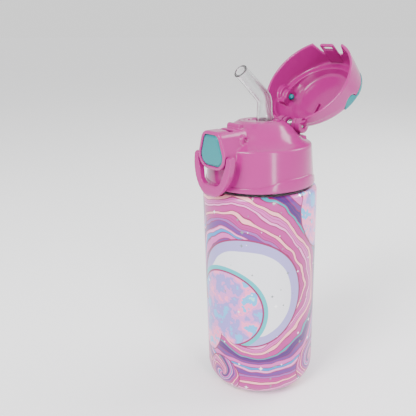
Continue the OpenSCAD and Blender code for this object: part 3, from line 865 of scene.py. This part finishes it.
# %% Sparkles, roughness and coat
star_cell = 10.0
cells = m.add("ShaderNodeCombineXYZ",
              {0: m.math("DIVIDE", around, star_cell), 1: m.math("DIVIDE", height, star_cell)})
scatter = m.add("ShaderNodeTexVoronoi", {"Vector": cells.outputs[0], "Scale": 1.0}, voronoi_dimensions="2D")
offset = m.add("ShaderNodeVectorMath", {0: cells.outputs[0], 1: scatter.outputs["Position"]},
               operation="SUBTRACT")
arms = m.add("ShaderNodeSeparateXYZ", {0: offset.outputs[0]})
reach = m.math("ADD", *[m.math("POWER", m.math("ABSOLUTE", arms.outputs[i]), 0.55) for i in (0, 1)])
chance = m.add("ShaderNodeSeparateColor", {0: scatter.outputs["Color"]})
size = m.math("MULTIPLY_ADD", chance.outputs[0], 0.22, 0.2)
shown = m.math("GREATER_THAN", chance.outputs[1], 0.35)
sparkle = m.math("MULTIPLY", m.within(reach, size, 0.03), shown)
silver = m.mix(m.math("GREATER_THAN", chance.outputs[2], 0.6), (0.2, 0.23, 0.24, 1), (0.93, 0.93, 0.95, 1))
ink = m.add("ShaderNodeGamma", {"Color": art, "Gamma": 1.9}).outputs[0]
m.put(m.mix(sparkle, ink, silver), shader.inputs["Base Color"])
m.put(m.math("MAXIMUM", m.math("MULTIPLY", sparkle, 0.85), m.math("MULTIPLY", white_area, 0.3)),
      shader.inputs["Metallic"])
m.put(m.math("MULTIPLY_ADD", m.noise(place, 900.0, 3.0), 0.12, 0.26), shader.inputs["Roughness"])
shader.inputs["Specular IOR Level"].default_value = 0.3
shader.inputs["Coat Weight"].default_value = 0.4
shader.inputs["Coat Roughness"].default_value = 0.12


# %% [markdown]
# Brushed steel has fine lines round the cup. A noise that is stretched along the lines and squeezed across
# them gives their tone, their roughness and a slight bump. The springs and pins use a darker one.

# %% Brushed steel
def brushed_steel(name, tone, roughness):
    material = bpy.data.materials.new(name)
    material.use_nodes = True
    m = Nodes(material.node_tree)
    shader = material.node_tree.nodes["Principled BSDF"]
    place = m.add("ShaderNodeTexCoord").outputs["Object"]
    stretched = m.add("ShaderNodeMapping", {"Vector": place, "Scale": (60.0, 60.0, 5200.0)})
    lines = m.noise(stretched.outputs[0], 1.0, 3.0, 0.7)
    dark_tone = (tone * 0.8, tone * 0.8, tone * 0.82, 1)
    m.put(m.mix(lines, dark_tone, (tone, tone, tone, 1)), shader.inputs["Base Color"])
    m.put(m.math("MULTIPLY_ADD", lines, 0.2, roughness - 0.1), shader.inputs["Roughness"])
    bump = m.add("ShaderNodeBump", {"Strength": 0.15, "Distance": 0.0001, "Height": lines})
    m.put(bump.outputs[0], shader.inputs["Normal"])
    shader.inputs["Metallic"].default_value = 1.0
    return material


steel_finish = brushed_steel("brushed_steel", 0.66, 0.3)
wire_finish = brushed_steel("spring_wire", 0.4, 0.25)
finish(body, printed, "flask", ["outer_shell"])
body.data.materials.append(steel_finish)
for polygon in body.data.polygons:
    bare = polygon.center.z > 138.4 * MM or polygon.center.z < 0.9 * MM
    polygon.material_index = 1 if bare else 0

# %% [markdown]
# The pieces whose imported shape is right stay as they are, and only get a finish: the inner flask, the
# base cup, the liner, the gasket, the straw, the latch, the pins and the springs.

# %% Finishes for the kept pieces
kept_finishes = {
    "base_cup": steel_finish, "inner_flask": steel_finish, "getter": wire_finish, "neck_seal": silicone,
    "collar_liner": white_plastic, "vent_valve": silicone, "straw_tube": white_plastic,
    "latch_hook": teal_plastic, "latch_pin": wire_finish, "button_spring": wire_finish,
    "hinge_pin": wire_finish, "lid_spring": wire_finish}
for name, material in kept_finishes.items():
    nodes[name].data.materials.clear()
    nodes[name].data.materials.append(material)
print("kept pieces", len(kept_finishes))

# %% [markdown]
# The stage is a wide pale floor under soft light. A large light hangs high in front, a narrow one on the
# right draws the long highlight down the body, and a wide one behind lights the edges.

# %% Stage
deselect()
bpy.ops.mesh.primitive_circle_add(vertices=96, radius=40, fill_type="NGON", location=(0, 0, -0.0002))
floor = bpy.context.object
floor.name = "floor"
paper = plastic("floor_paper", (0.93, 0.93, 0.94, 1), 0.7, 0.01, 0.0, 0.0)
paper_shader = paper.node_tree.nodes["Principled BSDF"]
paper_shader.inputs["Emission Color"].default_value = (1, 1, 1, 1)
paper_shader.inputs["Emission Strength"].default_value = 0.1
floor.data.materials.append(paper)

world = bpy.data.worlds.new("studio")
bpy.context.scene.world = world
world.use_nodes = True
world.node_tree.nodes["Background"].inputs["Color"].default_value = (1, 1, 1, 1)
world.node_tree.nodes["Background"].inputs["Strength"].default_value = 1.2


def soft_light(name, place, target, width, height, power):
    deselect()
    bpy.ops.object.light_add(type="AREA", location=place)
    light = bpy.context.object
    light.name = name
    light.data.shape = "RECTANGLE"
    light.data.size = width
    light.data.size_y = height
    light.data.energy = power
    light.rotation_euler = (Vector(target) - Vector(place)).to_track_quat("-Z", "Y").to_euler()


middle = (0, 0, 0.11)
soft_light("key", (0.1, -0.8, 0.9), middle, 0.4, 0.5, 15)
soft_light("fill", (0.95, -0.25, 0.35), middle, 0.15, 0.8, 6)
soft_light("rim", (0.3, 0.8, 0.8), middle, 0.8, 0.4, 10)

# %% [markdown]
# The camera stands to the right of the button and a little above the lid's hinge, and looks at the middle
# of the bottle. A shift of the lens then moves the bottle to the right of the picture.

# %% Camera
view_turn, view_rise, view_far = math.radians(46.12), math.radians(19.61), 0.35189
look_at = Vector((0, 0, 0.110))
from_object = Vector((math.sin(view_turn) * math.cos(view_rise), -math.cos(view_turn) * math.cos(view_rise),
                      math.sin(view_rise)))
camera_place = look_at + view_far * from_object
deselect()
bpy.ops.object.camera_add(location=camera_place)
camera = bpy.context.object
camera.rotation_euler = (-from_object).to_track_quat("-Z", "Y").to_euler()
camera.data.lens = 46.24
camera.data.sensor_width = 36
camera.data.shift_x = -0.125
camera.data.shift_y = 0.0393
camera.data.clip_start = 0.01
camera.data.clip_end = 200
bpy.context.scene.camera = camera
